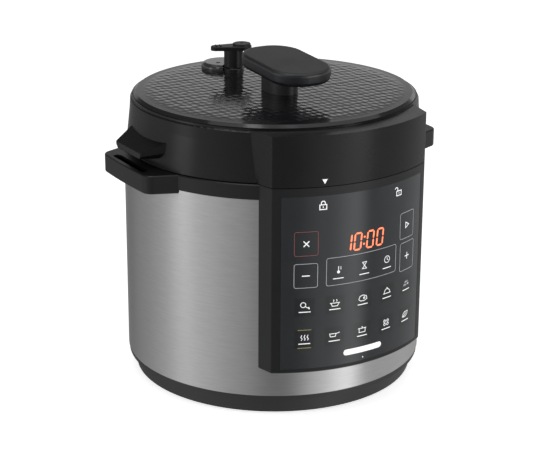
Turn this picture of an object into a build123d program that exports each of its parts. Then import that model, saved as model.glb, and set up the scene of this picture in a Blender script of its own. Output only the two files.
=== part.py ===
from build123d import *
import os
from math import cos, degrees, radians, sin, sqrt

# Countertop electric pressure cooker. Millimetres, +Z up, the front faces -Y.
# The origin is on the cooker's axis, on the surface that the rubber feet stand on.

# Driving dimensions of the outside
body_radius = 140.0
steel_thickness = 0.8
foot_height = 2.0
steel_bottom = 21.0
rim_top = 219.0
steel_top = rim_top - 13.6
lid_gap = 0.6
lid_edge = rim_top + 47
lid_shelf = rim_top + 46
plate_top = rim_top + 50
wall = 2.5

# Front bulge, shared by the control panel housing and the lid
bulge_radius = body_radius + 11.5
bulge_half_angle = 32.0
bulge_root_radius = body_radius - 15
bulge_root_half_angle = 45.0
bulge_corner = 2.0
panel_bottom = 47.5
film_half_angle = 29.0
film_bottom = 51.5
film_top = rim_top - 7.5
film_thickness = 0.9
pocket_depth = 1.0

# Lid
lid_bottom = rim_top + lid_gap
lid_bottom_radius = body_radius - 2
lid_middle_radius = body_radius - 5.8
lid_middle_height = rim_top + 34
lid_edge_radius = body_radius - 6.5
plate_radius = body_radius - 9.4

# Inner pot and its nest
pot_radius = 112.0
pot_wall = 2.0
pot_bottom = 60.5
pot_rim_bottom = rim_top - 18.4
pot_rim_top = rim_top - 16.4
pot_rim_radius = 118.8
pot_corner = 20.0
nest_radius = 115.8
nest_wall = 1.2
nest_bottom = 44.0
plate_heater_top = 60.0
plate_heater_bottom = 50.0
plate_heater_radius = 84.0

# Bayonet lock
tooth_count = 6
tooth_half_angle = 13.0
lug_half_angle = 14.0
tooth_inner = 119.5
tooth_bottom = rim_top - 10.6
tooth_top = rim_top - 7.6
lug_outer = 125.0
lug_bottom = rim_top - 14
lug_top = rim_top - 11.4
ring_outer = 128.8
ring_wall = 2.0
ring_bottom = rim_top - 20.8
ring_floor = 2.0
nest_flange = 1.2

# Side handles
handle_reach = body_radius + 18
handle_bow = 1.5
handle_half_width = 43.0
handle_root_half_width = 54.0
handle_root_reach = body_radius - 12
handle_corner = 11.0
handle_bottom = rim_top - 17
ear_slot_length = 60.0
ear_slot_width = 7.6
ear_slot_reach = body_radius + 9.6

# Lid ears
ear_reach = body_radius + 12
ear_tip_half_width = 24.0
ear_root_half_width = 36.0
ear_bottom = rim_top + 9
ear_tip_top = rim_top + 15
ear_root_top = rim_top + 26

# Steam valve and float, on the lid's rear
valve_y = 76.0
pipe_radius = 4.0
pipe_bore = 1.6
pipe_top = rim_top + 64
collar_top = rim_top + 54.2
knob_radius = 9.2
knob_bottom = rim_top + 55.3
knob_top = rim_top + 72
lever_top = rim_top + 75.6
boss_top = rim_top + 77.4
lever_angle = 162.0
pad_y = 97.0
pad_radius = 21.0
pad_top = rim_top + 55.5
float_x = -7.0
float_y = 94.0
float_radius = 1.8

# Lid grip
grip_length = 97.0
grip_width = 60.0
grip_thickness = 13.0
grip_cap_thickness = 7.5
grip_corner = 27.0
grip_centre_y = -20.5
grip_top = rim_top + 81.6
grip_tilt = 3.8
stem_centre_y = -9.0

# Small clearances
skin_gap = 0.1
slide_gap = 0.4
screw_gap = 0.1

os.makedirs("parts", exist_ok=True)


def keep(builder, label):
    """Label a finished piece and write its file."""
    builder.part.label = label
    export_step(builder.part, f"parts/{label}.step")


def sector(inner, outer, half_angle, inner_half_angle=None, facing=-90.0):
    """Plan of a ring sector that faces the given direction, sides straight."""
    inner_half = half_angle if inner_half_angle is None else inner_half_angle
    with BuildSketch() as plan:
        with BuildLine():
            far = CenterArc((0, 0), outer, facing - half_angle, 2 * half_angle)
            near = CenterArc((0, 0), inner, facing - inner_half, 2 * inner_half)
            Line(far @ 0, near @ 0)
            Line(far @ 1, near @ 1)
        make_face()
    return plan.sketch


def outermost(edge):
    """Distance of an edge's centre from the cooker's axis, for sorting."""
    centre = edge.center()
    return centre.X**2 + centre.Y**2


def turned(points):
    """Solid turned round the cooker's axis from a closed outline of (radius, height)."""
    with BuildPart() as solid:
        with BuildSketch(Plane.XZ):
            with BuildLine():
                Polyline(*points, close=True)
            make_face()
        revolve(axis=Axis.Z)
    return solid.part


def tube(inner, outer, bottom, top):
    """Plain ring round the cooker's axis."""
    return turned([(inner, bottom), (outer, bottom), (outer, top), (inner, top)])


def block(x0, x1, y0, y1, z0, z1):
    """Box between two corners."""
    box = Box(x1 - x0, y1 - y0, z1 - z0, mode=Mode.PRIVATE)
    return Pos((x0 + x1) / 2, (y0 + y1) / 2, (z0 + z1) / 2) * box


def bulge_block(inset, bottom, top):
    """Front bulge between two heights, its walls moved inwards by the inset."""
    half = bulge_half_angle - (side_wall_angle if inset else 0)
    root = bulge_root_half_angle - (root_wall_angle if inset else 0)
    with BuildPart() as solid:
        with BuildSketch(Plane.XY.offset(bottom)):
            add(sector(bulge_root_radius, bulge_radius - inset, half, root))
        extrude(amount=top - bottom)
        if not inset:
            edges = solid.edges().filter_by(Axis.Z)
            fillet(edges.sort_by(outermost)[-2:], bulge_corner)
    return solid.part


def upright(radius, bottom, top, x=0.0, y=0.0):
    """Vertical cylinder between two heights."""
    rod = Cylinder(radius, top - bottom, mode=Mode.PRIVATE)
    return Pos(x, y, (bottom + top) / 2) * rod


def along_y(radius, y0, y1, x, z):
    """Cylinder lying along Y."""
    rod = Cylinder(radius, y1 - y0, mode=Mode.PRIVATE)
    return Pos(x, (y0 + y1) / 2, z) * Rot(90, 0, 0) * rod


steel_inner = body_radius - steel_thickness
spigot_outer = steel_inner - 0.2
rim_outer = body_radius + 0.6
side_wall_angle = degrees(wall * sqrt(2) / bulge_radius)
root_wall_angle = 2.1


# ---------------------------------------------------------------- base and skin

lip_height = 4.5
base_bottom_radius = body_radius - 7.6
base_lip_radius = body_radius - 5.5
floor_bottom = 4.0
floor_top = 6.5
spigot_top = 31.0
foot_circle = 112.0
foot_radius = 9.0
foot_peg_radius = 3.5
foot_angle = 45.0
leg_angles = (90.0, 210.0, 330.0)
leg_radius_mid = 104.0
leg_width = 16.0
leg_depth = 10.0
leg_sheet = 1.5
board_x = 0.0
board_y = 55.0
board_length = 116.0
board_depth = 48.0
board_bottom = 14.0
board_sheet = 1.6
board_hole_x = 52.0
board_hole_y = 19.0

with BuildPart() as base_shell:
    with BuildSketch(Plane.XZ):
        with BuildLine():
            Polyline(
                (0, floor_bottom),
                (base_bottom_radius - wall, floor_bottom),
                (base_bottom_radius - wall, foot_height),
                (base_bottom_radius, foot_height),
                (base_lip_radius, steel_bottom - lip_height),
                (body_radius - 0.7, steel_bottom - lip_height),
                (body_radius - 0.7, steel_bottom),
                (spigot_outer, steel_bottom),
                (spigot_outer, spigot_top),
                (spigot_outer - wall, spigot_top),
                (spigot_outer - wall, steel_bottom - lip_height + wall),
                (base_lip_radius - wall, steel_bottom - lip_height + wall),
                (base_bottom_radius - wall, floor_top),
                (0, floor_top),
                close=True,
            )
        make_face()
    revolve(axis=Axis.Z)
    with BuildSketch(Plane.XY.offset(floor_top)):
        with Locations((board_x, board_y)):
            with GridLocations(2 * board_hole_x, 2 * board_hole_y, 2, 2):
                Circle(4)
    extrude(amount=board_bottom - floor_top)
    with BuildSketch(Plane.XY.offset(floor_bottom)):
        for radius, count in ((40.0, 10), (68.0, 16)):
            with PolarLocations(radius, count):
                SlotOverall(20, 3.4)
        with PolarLocations(foot_circle, 4, start_angle=foot_angle):
            Circle(foot_peg_radius + screw_gap)
        with PolarLocations(leg_radius_mid, 3, start_angle=leg_angles[0]):
            Circle(2 + screw_gap)
    extrude(amount=floor_top - floor_bottom, mode=Mode.SUBTRACT)
    with BuildSketch(Plane.XY.offset(board_bottom - 6)):
        with Locations((board_x, board_y)):
            with GridLocations(2 * board_hole_x, 2 * board_hole_y, 2, 2):
                Circle(1.3 + screw_gap)
    extrude(amount=6, mode=Mode.SUBTRACT)
keep(base_shell, "base_shell")

with BuildPart() as rubber_feet:
    with BuildSketch():
        with PolarLocations(foot_circle, 4, start_angle=foot_angle):
            Circle(foot_radius)
    extrude(amount=floor_bottom)
    with BuildSketch(Plane.XY.offset(floor_bottom)):
        with PolarLocations(foot_circle, 4, start_angle=foot_angle):
            Circle(foot_peg_radius)
    extrude(amount=floor_top - floor_bottom + 1.5)
    chamfer(rubber_feet.edges().group_by(Axis.Z)[0], 1.0)
keep(rubber_feet, "rubber_feet")

with BuildPart() as nest_legs:
    with PolarLocations(leg_radius_mid, 3, start_angle=leg_angles[0]):
        with Locations((0, 0, floor_top)):
            Box(leg_depth, leg_width, leg_sheet, align=(Align.CENTER, Align.CENTER, Align.MIN))
        with Locations((0, 0, nest_bottom - leg_sheet)):
            Box(leg_depth, leg_width, leg_sheet, align=(Align.CENTER, Align.CENTER, Align.MIN))
        with Locations((-leg_depth / 2, 0, floor_top)):
            Box(
                leg_sheet,
                leg_width,
                nest_bottom - floor_top,
                align=(Align.MIN, Align.CENTER, Align.MIN),
            )
        with Locations((0, 0, floor_top + leg_sheet / 2)):
            Cylinder(2 + screw_gap, leg_sheet, mode=Mode.SUBTRACT)
keep(nest_legs, "nest_legs")

with BuildPart() as base_screws:
    with BuildSketch(Plane.XY.offset(floor_bottom - 1.6)):
        with PolarLocations(leg_radius_mid, 3, start_angle=leg_angles[0]):
            Circle(3.6)
    extrude(amount=1.6)
    with BuildSketch(Plane.XY.offset(floor_bottom)):
        with PolarLocations(leg_radius_mid, 3, start_angle=leg_angles[0]):
            Circle(2)
    extrude(amount=10)
keep(base_screws, "base_screws")

# Cut-outs that the steel skin needs
window_half_angle = 27.0
window_bottom = 62.0
window_top = rim_top - 21
inlet_z = 48.0
inlet_body_width = 29.0
inlet_body_height = 23.0
inlet_screw_x = 17.6
cup_screw_x = 20.0
cup_screw_z = 170.0

with BuildPart() as steel_housing:
    add(tube(steel_inner, body_radius, steel_bottom, steel_top))
    with BuildSketch(Plane.XY.offset(window_bottom)):
        add(sector(steel_inner - 5, body_radius + 5, window_half_angle))
    extrude(amount=window_top - window_bottom, mode=Mode.SUBTRACT)
    add(
        block(
            -inlet_body_width / 2 - 0.3,
            inlet_body_width / 2 + 0.3,
            body_radius - 8,
            body_radius + 4,
            inlet_z - inlet_body_height / 2 - 0.3,
            inlet_z + inlet_body_height / 2 + 0.3,
        ),
        mode=Mode.SUBTRACT,
    )
    for side in (-1, 1):
        add(along_y(1.5, 130, 145, side * inlet_screw_x, inlet_z), mode=Mode.SUBTRACT)
        add(along_y(1.6, 130, 145, side * cup_screw_x, cup_screw_z), mode=Mode.SUBTRACT)
keep(steel_housing, "steel_housing")


# ------------------------------------------------------- rim ring and handles

rim_inner = ring_outer + 0.2
ledge_inner = 120.0
ledge_top = ring_bottom - nest_flange
ledge_bottom = ledge_top - wall
skirt_bottom = rim_top - 24
ring_screw_radius = 123.5
ring_screw_angle = 30.0
handle_wall = 2.6
handle_cover_sheet = 2.0
handle_cover_bottom = handle_bottom + 0.3
handle_screw_x = body_radius + 9
handle_screw_y = 35.5
drip_half_width = 8.0
drip_reach = body_radius + 7


def handle_plan(inset):
    """Plan of the right handle, moved inwards by the wall's thickness."""
    with BuildSketch() as plan:
        with BuildLine():
            reach = handle_reach - inset
            half = handle_half_width - inset
            root = handle_root_half_width - inset
            top = (reach - handle_bow, half)
            bottom = (reach - handle_bow, -half)
            ThreePointArc(top, (reach, 0), bottom)
            Polyline(
                bottom,
                (handle_root_reach, -root),
                (handle_root_reach, root),
                top,
            )
        make_face()
        fillet(plan.vertices().group_by(Axis.X)[-1], handle_corner - inset)
    return plan.sketch


with BuildPart() as handle_shape:
    with BuildSketch(Plane.XY.offset(handle_bottom)):
        add(handle_plan(0))
    extrude(amount=rim_top - handle_bottom)
    chamfer(handle_shape.edges().group_by(Axis.Z)[-1], 0.8)
    fillet(handle_shape.edges().group_by(Axis.Z)[0], 1.5)
    add(upright(body_radius + 0.25, handle_bottom - 1, steel_top), mode=Mode.SUBTRACT)
    with BuildSketch(Plane.XY.offset(handle_bottom - 1)):
        add(handle_plan(handle_wall))
        Circle(rim_outer + 1.4, mode=Mode.SUBTRACT)
    extrude(amount=rim_top - wall - handle_bottom + 1, mode=Mode.SUBTRACT)
    with BuildSketch(Plane.XY.offset(handle_bottom + handle_cover_sheet + 0.3)):
        with Locations((handle_screw_x, handle_screw_y), (handle_screw_x, -handle_screw_y)):
            Circle(3.6)
    extrude(amount=rim_top - handle_bottom - handle_cover_sheet - 1)
    with BuildSketch(Plane.XY.offset(handle_bottom)):
        with Locations((handle_screw_x, handle_screw_y), (handle_screw_x, -handle_screw_y)):
            Circle(1.2 + screw_gap)
    extrude(amount=10, mode=Mode.SUBTRACT)
    with BuildSketch(Plane.XY.offset(rim_top - wall - 1)):
        with Locations((ear_slot_reach, 0)):
            SlotOverall(ear_slot_length, ear_slot_width, rotation=90)
    extrude(amount=wall + 2, mode=Mode.SUBTRACT)

with BuildPart() as rim_ring:
    add(
        turned(
            [
                (rim_outer, steel_top),
                (rim_outer, rim_top - 0.8),
                (rim_outer - 0.8, rim_top),
                (rim_inner + 1, rim_top),
                (rim_inner, rim_top - 1),
                (rim_inner, ledge_top),
                (ledge_inner, ledge_top),
                (ledge_inner, ledge_bottom),
                (rim_inner + wall, ledge_bottom),
                (rim_inner + wall, rim_top - wall),
                (spigot_outer - 2, rim_top - wall),
                (spigot_outer - 2, skirt_bottom),
                (spigot_outer, skirt_bottom),
                (spigot_outer, steel_top),
            ]
        )
    )
    add(handle_shape.part)
    add(handle_shape.part.mirror(Plane.YZ))
    add(
        block(
            -drip_half_width,
            drip_half_width,
            body_radius - 2,
            drip_reach,
            rim_top - 6,
            rim_top,
        )
    )
    add(
        block(
            -drip_half_width + 2,
            drip_half_width - 2,
            rim_inner - 1,
            drip_reach + 1,
            rim_top - 1.5,
            rim_top + 1,
        ),
        mode=Mode.SUBTRACT,
    )
    add(upright(rim_inner, ledge_top, rim_top + 1), mode=Mode.SUBTRACT)
    with BuildSketch(Plane.XY.offset(ledge_bottom)):
        with PolarLocations(ring_screw_radius, tooth_count, start_angle=ring_screw_angle):
            Circle(1.5 + screw_gap)
    extrude(amount=wall, mode=Mode.SUBTRACT)
keep(rim_ring, "rim_ring")

with BuildPart() as handle_cover_right:
    with BuildSketch(Plane.XY.offset(handle_cover_bottom)):
        add(handle_plan(handle_wall + 0.15))
        Circle(rim_outer + 1.8, mode=Mode.SUBTRACT)
        with Locations((handle_screw_x, handle_screw_y), (handle_screw_x, -handle_screw_y)):
            Circle(1.2 + screw_gap, mode=Mode.SUBTRACT)
        with Locations((ear_slot_reach, -12), (ear_slot_reach, 12)):
            Circle(2, mode=Mode.SUBTRACT)
    extrude(amount=handle_cover_sheet)
keep(handle_cover_right, "handle_cover_right")

with BuildPart() as handle_cover_left:
    add(handle_cover_right.part)
    mirror(about=Plane.YZ, mode=Mode.REPLACE)
keep(handle_cover_left, "handle_cover_left")

with BuildPart() as handle_screws:
    with Locations(
        (handle_screw_x, handle_screw_y, 0),
        (handle_screw_x, -handle_screw_y, 0),
        (-handle_screw_x, handle_screw_y, 0),
        (-handle_screw_x, -handle_screw_y, 0),
    ):
        with Locations((0, 0, handle_cover_bottom - 1.4)):
            Cylinder(2.6, 1.4, align=(Align.CENTER, Align.CENTER, Align.MIN))
        with Locations((0, 0, handle_cover_bottom)):
            Cylinder(1.2, 9, align=(Align.CENTER, Align.CENTER, Align.MIN))
keep(handle_screws, "handle_screws")


# ------------------------------------------------------------- control panel

key_columns = (-55.4, -27.7, 0.0, 27.7, 55.4)
upper_row = 110.0
lower_row = 80.0
side_keys = ((-54.0, 168.5), (54.0, 168.0), (-54.0, 139.0), (55.0, 138.0), (0.0, 140.0))
board_front = body_radius - 5.7
control_board_sheet = 1.6
control_board_half_width = 57.0
control_board_bottom = 66.0
control_board_top = rim_top - 25
control_hole_x = 51.0
control_hole_bottom = 73.0
control_hole_top = 187.0
display_half_width = 22.0
display_bottom = 157.0
display_top = 177.0
display_face = body_radius + 5.8
film_outer = bulge_radius - 0.1
film_inner = film_outer - film_thickness
housing_inner = bulge_radius - wall


def key_places():
    """Key centres as (distance along the film, height)."""
    rows = [(along, height) for height in (upper_row, lower_row) for along in key_columns]
    return rows + list(side_keys)


with BuildPart() as front_housing:
    add(bulge_block(0, panel_bottom, rim_top))
    fillet(front_housing.edges().group_by(Axis.Z)[0].sort_by(outermost)[-3:], bulge_corner)
    add(bulge_block(wall, panel_bottom + wall, rim_top - wall), mode=Mode.SUBTRACT)
    add(upright(body_radius + skin_gap, panel_bottom - 1, steel_top - 0.2), mode=Mode.SUBTRACT)
    add(upright(rim_outer + skin_gap, steel_top - 0.3, rim_top + 1), mode=Mode.SUBTRACT)
    with BuildSketch(Plane.XY.offset(film_bottom)):
        add(sector(bulge_radius - pocket_depth, bulge_radius + 3, film_half_angle))
    extrude(amount=film_top - film_bottom, mode=Mode.SUBTRACT)
    add(
        block(
            -display_half_width - 1,
            display_half_width + 1,
            -bulge_radius,
            -body_radius,
            display_bottom - 1,
            display_top + 1,
        ),
        mode=Mode.SUBTRACT,
    )
    for x in (-control_hole_x, control_hole_x):
        for height in (control_hole_bottom, control_hole_top):
            boss = along_y(3, -bulge_radius, -board_front, x, height)
            add(boss & upright(housing_inner + 0.5, height - 4, height + 4))
            add(along_y(1.2 + screw_gap, 1.1 - body_radius, -board_front, x, height), mode=Mode.SUBTRACT)
    for along, height in key_places():
        x = housing_inner * sin(along / bulge_radius)
        add(along_y(3.6, -bulge_radius, -board_front - 1, x, height), mode=Mode.SUBTRACT)
keep(front_housing, "front_housing")

with BuildPart() as panel_film:
    with BuildSketch(Plane.XY.offset(film_bottom + skin_gap)):
        add(sector(film_inner, film_outer, film_half_angle - 0.05))
    extrude(amount=film_top - film_bottom - 2 * skin_gap)
    fillet(panel_film.edges().filter_by(Axis.Z), 0.3)
keep(panel_film, "panel_film")

with BuildPart() as control_board:
    add(
        block(
            -control_board_half_width,
            control_board_half_width,
            -board_front,
            -board_front + control_board_sheet,
            control_board_bottom,
            control_board_top,
        )
    )
    with Locations(Plane.XZ.offset(board_front - control_board_sheet)):
        with Locations((0, (control_hole_bottom + control_hole_top) / 2)):
            with GridLocations(2 * control_hole_x, control_hole_top - control_hole_bottom, 2, 2):
                Cylinder(
                    1.2 + screw_gap,
                    control_board_sheet,
                    align=(Align.CENTER, Align.CENTER, Align.MIN),
                    mode=Mode.SUBTRACT,
                )
keep(control_board, "control_board")

with BuildPart() as control_board_screws:
    with Locations(Plane.XZ.offset(board_front - control_board_sheet)):
        with Locations((0, (control_hole_bottom + control_hole_top) / 2)):
            with GridLocations(2 * control_hole_x, control_hole_top - control_hole_bottom, 2, 2):
                Cylinder(2.4, 1.4, align=(Align.CENTER, Align.CENTER, Align.MAX))
                Cylinder(1.2, 5.6, align=(Align.CENTER, Align.CENTER, Align.MIN))
keep(control_board_screws, "control_board_screws")

with BuildPart() as display_module:
    add(
        block(
            -display_half_width,
            display_half_width,
            -display_face,
            -board_front,
            display_bottom,
            display_top,
        )
    )
    fillet(display_module.edges().filter_by(Axis.Y), 1.0)
keep(display_module, "display_module")

with BuildPart() as touch_springs:
    for along, height in key_places():
        x = housing_inner * sin(along / bulge_radius)
        reach = sqrt(film_inner**2 - (abs(x) + 2.8) ** 2)
        if not (abs(along) < 1 and height > upper_row + 10):
            add(along_y(2.6, -reach, -board_front, x, height))
            add(along_y(1.8, -reach - 1, -board_front + 0.5, x, height), mode=Mode.SUBTRACT)
keep(touch_springs, "touch_springs")


# ------------------------------------------------- nest, bayonet ring, heater

with BuildPart() as outer_pot:
    add(
        turned(
            [
                (72, nest_bottom),
                (nest_radius, nest_bottom),
                (nest_radius, ledge_top),
                (ring_outer - 0.2, ledge_top),
                (ring_outer - 0.2, ring_bottom),
                (nest_radius - nest_wall, ring_bottom),
                (nest_radius - nest_wall, nest_bottom + nest_wall),
                (72, nest_bottom + nest_wall),
            ]
        )
    )
    with BuildSketch(Plane.XY.offset(ledge_top)):
        with PolarLocations(ring_screw_radius, tooth_count, start_angle=ring_screw_angle):
            Circle(1.5 + screw_gap)
    extrude(amount=nest_flange, mode=Mode.SUBTRACT)
keep(outer_pot, "outer_pot")

with BuildPart() as bayonet_ring:
    add(tube(ring_outer - ring_wall, ring_outer, ring_bottom, tooth_top))
    add(tube(nest_radius, ring_outer, ring_bottom, ring_bottom + ring_floor))
    for index in range(tooth_count):
        with BuildSketch(Plane.XY.offset(tooth_bottom)):
            add(
                sector(
                    tooth_inner,
                    ring_outer - ring_wall / 2,
                    tooth_half_angle,
                    facing=index * 360 / tooth_count,
                )
            )
        extrude(amount=tooth_top - tooth_bottom)
    with BuildSketch(Plane.XY.offset(ring_bottom)):
        with PolarLocations(ring_screw_radius, tooth_count, start_angle=ring_screw_angle):
            Circle(1.5 + screw_gap)
    extrude(amount=ring_floor, mode=Mode.SUBTRACT)
keep(bayonet_ring, "bayonet_ring")

with BuildPart() as ring_screws:
    with PolarLocations(ring_screw_radius, tooth_count, start_angle=ring_screw_angle):
        with Locations((0, 0, ring_bottom + ring_floor)):
            Cylinder(2.8, 1.6, align=(Align.CENTER, Align.CENTER, Align.MIN))
            Cylinder(1.5, 8, align=(Align.CENTER, Align.CENTER, Align.MAX))
keep(ring_screws, "ring_screws")

sensor_bore = 15.5
tube_circle = 58.0
heating_tube_radius = 4.0
tube_sweep = 320.0
tube_start = -70.0
terminal_bottom = 36.0
spacer_circle = 78.0
bracket_bottom = 36.0
bracket_sheet = 1.5

with BuildPart() as heating_plate:
    add(
        turned(
            [
                (sensor_bore, plate_heater_bottom),
                (plate_heater_radius - 4, plate_heater_bottom),
                (plate_heater_radius, plate_heater_bottom + 4),
                (plate_heater_radius, plate_heater_top - 1),
                (plate_heater_radius - 1, plate_heater_top),
                (sensor_bore, plate_heater_top),
            ]
        )
    )
    with BuildSketch(Plane.XZ):
        with Locations((tube_circle, plate_heater_bottom)):
            Circle(heating_tube_radius + 0.15)
    revolve(axis=Axis.Z, mode=Mode.SUBTRACT)
keep(heating_plate, "heating_plate")

with BuildPart() as heating_tube:
    with BuildSketch(Plane.XZ.rotated((0, 0, tube_start))):
        with Locations((tube_circle, plate_heater_bottom)):
            Circle(heating_tube_radius)
    revolve(axis=Axis.Z, revolution_arc=tube_sweep)
    with BuildSketch(Plane.XY.offset(terminal_bottom)):
        for angle in (tube_start, tube_start + tube_sweep):
            with PolarLocations(tube_circle, 1, start_angle=angle):
                Circle(2.5)
    extrude(amount=plate_heater_bottom - terminal_bottom)
keep(heating_tube, "heating_tube")

with BuildPart() as plate_spacers:
    with BuildSketch(Plane.XY.offset(nest_bottom + nest_wall)):
        with PolarLocations(spacer_circle, 3, start_angle=leg_angles[0]):
            Circle(3.5)
    extrude(amount=plate_heater_bottom - nest_bottom - nest_wall)
keep(plate_spacers, "plate_spacers")

with BuildPart() as sensor_bracket:
    add(tube(0, 20, bracket_bottom, bracket_bottom + bracket_sheet))
    with BuildSketch(Plane.XY.offset(bracket_bottom)):
        with PolarLocations(22, 3, start_angle=30):
            Rectangle(8, 8)
    extrude(amount=bracket_sheet)
    with BuildSketch(Plane.XY.offset(bracket_bottom)):
        with PolarLocations(25, 3, start_angle=30):
            Rectangle(bracket_sheet, 8)
    extrude(amount=plate_heater_bottom - bracket_bottom)
keep(sensor_bracket, "sensor_bracket")

with BuildPart() as thermal_fuse:
    add(block(28, 44, -4, 4, plate_heater_bottom - 5, plate_heater_bottom))
    fillet(thermal_fuse.edges().filter_by(Axis.X), 1.5)
keep(thermal_fuse, "thermal_fuse")

with BuildPart() as pressure_switch:
    add(block(-14, 14, -103, -85, nest_bottom - 16, nest_bottom))
    fillet(pressure_switch.edges().filter_by(Axis.Z), 2)
    add(upright(4, nest_bottom - 20, nest_bottom - 16, 0, -94))
keep(pressure_switch, "pressure_switch")


# ------------------------------------------------------------- power section

board_top = board_bottom + board_sheet

with BuildPart() as power_board:
    with BuildSketch(Plane.XY.offset(board_bottom)):
        with Locations((board_x, board_y)):
            RectangleRounded(board_length, board_depth, 2)
            with GridLocations(2 * board_hole_x, 2 * board_hole_y, 2, 2):
                Circle(1.3 + screw_gap, mode=Mode.SUBTRACT)
    extrude(amount=board_sheet)
keep(power_board, "power_board")

with BuildPart() as power_parts:
    add(block(-50, -30, 52, 68, board_top, board_top + 16))
    add(block(-10, 24, 46, 70, board_top, board_top + 18))
    add(block(-6, 20, 44, 72, board_top + 2, board_top + 22))
    add(upright(6, board_top, board_top + 22, 38, 60))
    add(block(16, 40, 33, 43, board_top, board_top + 12))
    for x in (20, 28, 36):
        add(upright(2.2, board_top + 8, board_top + 13, x, 38), mode=Mode.SUBTRACT)
keep(power_parts, "power_parts")

with BuildPart() as power_board_screws:
    with Locations((board_x, board_y, board_top)):
        with GridLocations(2 * board_hole_x, 2 * board_hole_y, 2, 2):
            Cylinder(2.8, 1.6, align=(Align.CENTER, Align.CENTER, Align.MIN))
            Cylinder(1.3, 7, align=(Align.CENTER, Align.CENTER, Align.MAX))
keep(power_board_screws, "power_board_screws")

inlet_body_back = body_radius - 21
inlet_face = body_radius + 3.5
inlet_pocket_back = body_radius - 16
inlet_bezel_width = 44.0
inlet_bezel_height = 30.0
inlet_pocket_width = 24.6
inlet_pocket_height = 16.6
inlet_pins_at = ((-7.0, -2.0), (0.0, 2.0), (7.0, -2.0))

with BuildPart() as inlet_socket:
    bezel_bottom = inlet_z - inlet_bezel_height / 2
    add(
        block(
            -inlet_bezel_width / 2,
            inlet_bezel_width / 2,
            body_radius - 6,
            inlet_face,
            bezel_bottom,
            bezel_bottom + inlet_bezel_height,
        )
    )
    fillet(inlet_socket.edges().filter_by(Axis.Y), 3)
    chamfer(inlet_socket.edges().group_by(Axis.Y)[-1], 0.6)
    add(upright(body_radius + 0.05, inlet_z - 20, inlet_z + 20), mode=Mode.SUBTRACT)
    add(
        block(
            -inlet_body_width / 2,
            inlet_body_width / 2,
            inlet_body_back,
            body_radius + 1,
            inlet_z - inlet_body_height / 2,
            inlet_z + inlet_body_height / 2,
        )
    )
    with BuildSketch(Plane.XZ.offset(-inlet_face - 1)):
        with Locations((0, inlet_z)):
            RectangleRounded(inlet_pocket_width, inlet_pocket_height, 3)
    extrude(amount=inlet_face + 1 - inlet_pocket_back, mode=Mode.SUBTRACT)
    for side in (-1, 1):
        x = side * inlet_screw_x
        add(along_y(1.5, body_radius - 10, inlet_face + 1, x, inlet_z), mode=Mode.SUBTRACT)
keep(inlet_socket, "inlet_socket")

with BuildPart() as inlet_pins:
    for x, rise in inlet_pins_at:
        z = inlet_z + rise
        add(block(x - 1, x + 1, inlet_body_back - 3, inlet_body_back, z - 2.2, z + 2.2))
        add(block(x - 1, x + 1, inlet_pocket_back, inlet_face - 4, z - 2, z + 2))
keep(inlet_pins, "inlet_pins")

with BuildPart() as inlet_screws:
    for side in (-1, 1):
        x = side * inlet_screw_x
        add(along_y(2.8, inlet_face, inlet_face + 1.3, x, inlet_z))
        add(along_y(1.4, body_radius - 6, inlet_face, x, inlet_z))
keep(inlet_screws, "inlet_screws")


# ------------------------------------------------- condensate cup and bracket

cup_half_width = 28.0
cup_back = body_radius + 2.5
cup_front = body_radius + 30
cup_bottom = 123.0
cup_top = 182.0
cup_wall = 1.6
bracket_half_width = 32.0
bracket_face = body_radius + 2
bracket_low = 119.0
bracket_high = 180.0

with BuildPart() as cup_bracket:
    add(
        block(
            -bracket_half_width,
            bracket_half_width,
            body_radius - 6,
            bracket_face,
            bracket_low,
            bracket_high,
        )
    )
    add(
        block(
            -bracket_half_width,
            bracket_half_width,
            body_radius - 6,
            cup_front - 10,
            bracket_low,
            cup_bottom - slide_gap,
        )
    )
    for side in (-1, 1):
        inside = side * (cup_half_width + 1)
        outside = side * bracket_half_width
        add(
            block(
                min(inside, outside),
                max(inside, outside),
                body_radius - 6,
                cup_front - 10,
                bracket_low,
                bracket_low + 41,
            )
        )
    fillet(cup_bracket.edges().filter_by(Axis.Z).group_by(Axis.Y)[-1], 1.2)
    add(upright(body_radius + 0.05, bracket_low - 1, bracket_high + 1), mode=Mode.SUBTRACT)
    for side in (-1, 1):
        x = side * cup_screw_x
        add(along_y(1.5, body_radius - 6, bracket_face - 0.6, x, cup_screw_z), mode=Mode.SUBTRACT)
keep(cup_bracket, "cup_bracket")

with BuildPart() as bracket_screws:
    for side in (-1, 1):
        x = side * cup_screw_x
        add(along_y(3, body_radius - 4.6, body_radius - 2.8, x, cup_screw_z))
        add(along_y(1.4, body_radius - 2.8, bracket_face - 0.8, x, cup_screw_z))
keep(bracket_screws, "bracket_screws")

with BuildPart() as condensate_cup:
    with BuildSketch(Plane.XY.offset(cup_bottom)):
        with Locations((0, (cup_back + cup_front) / 2)):
            Rectangle(2 * cup_half_width, cup_front - cup_back)
    extrude(amount=cup_top - cup_bottom)
    fillet(condensate_cup.edges().filter_by(Axis.Z).group_by(Axis.Y)[-1], 10)
    fillet(condensate_cup.edges().filter_by(Axis.Z).group_by(Axis.Y)[0], 3)
    fillet(condensate_cup.edges().group_by(Axis.Z)[0], 2.5)
    offset(amount=-cup_wall, openings=condensate_cup.faces().sort_by(Axis.Z)[-1])
keep(condensate_cup, "condensate_cup")


# --------------------------------------------------------- sensor, pot, seal

sensor_radius = 14.0
sensor_top = plate_heater_top + 0.2
sensor_sheet = 2.0
sensor_skirt_bottom = 50.0
sensor_stem_bottom = 41.0
spring_radius = 8.0
spring_turns = 5

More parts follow.
